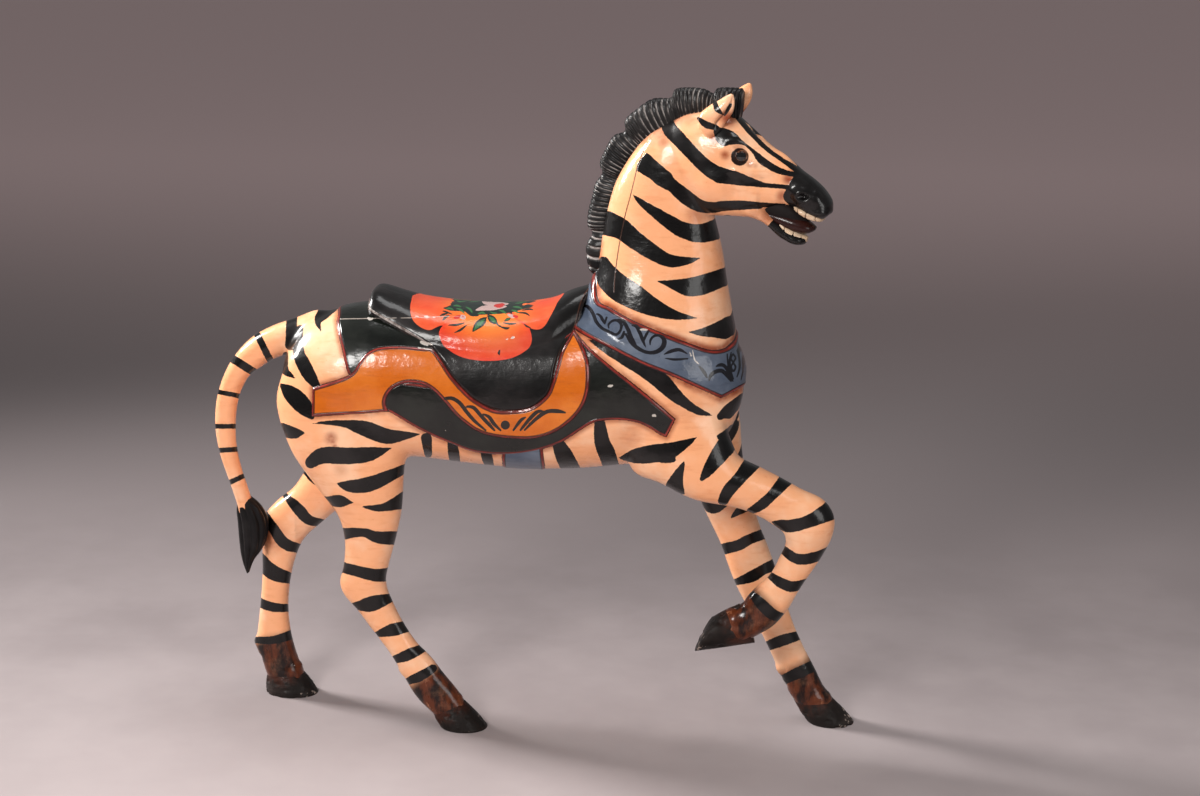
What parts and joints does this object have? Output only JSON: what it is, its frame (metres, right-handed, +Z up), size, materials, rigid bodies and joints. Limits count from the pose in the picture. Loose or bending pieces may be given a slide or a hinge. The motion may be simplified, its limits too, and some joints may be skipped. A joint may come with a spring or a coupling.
{
  "type": "carousel zebra",
  "caption": "Carved wooden carousel zebra, prancing with one foreleg raised, with saddle, blanket and breast collar carved in one piece with it.",
  "frame": {"origin": "on the floor, under the middle of the bounding box", "axes": "+X towards the head, +Y to the animal's left flank, +Z up"},
  "size_m": [1.515, 0.348, 1.5165],
  "materials": {
    "painted_wood": "varnished paint",
    "eye_glass": "polished"
  },
  "bodies": {
    "root": {"zebra": "painted_wood", "right_eye": "eye_glass", "left_eye": "eye_glass"}
  },
  "joints": []
}
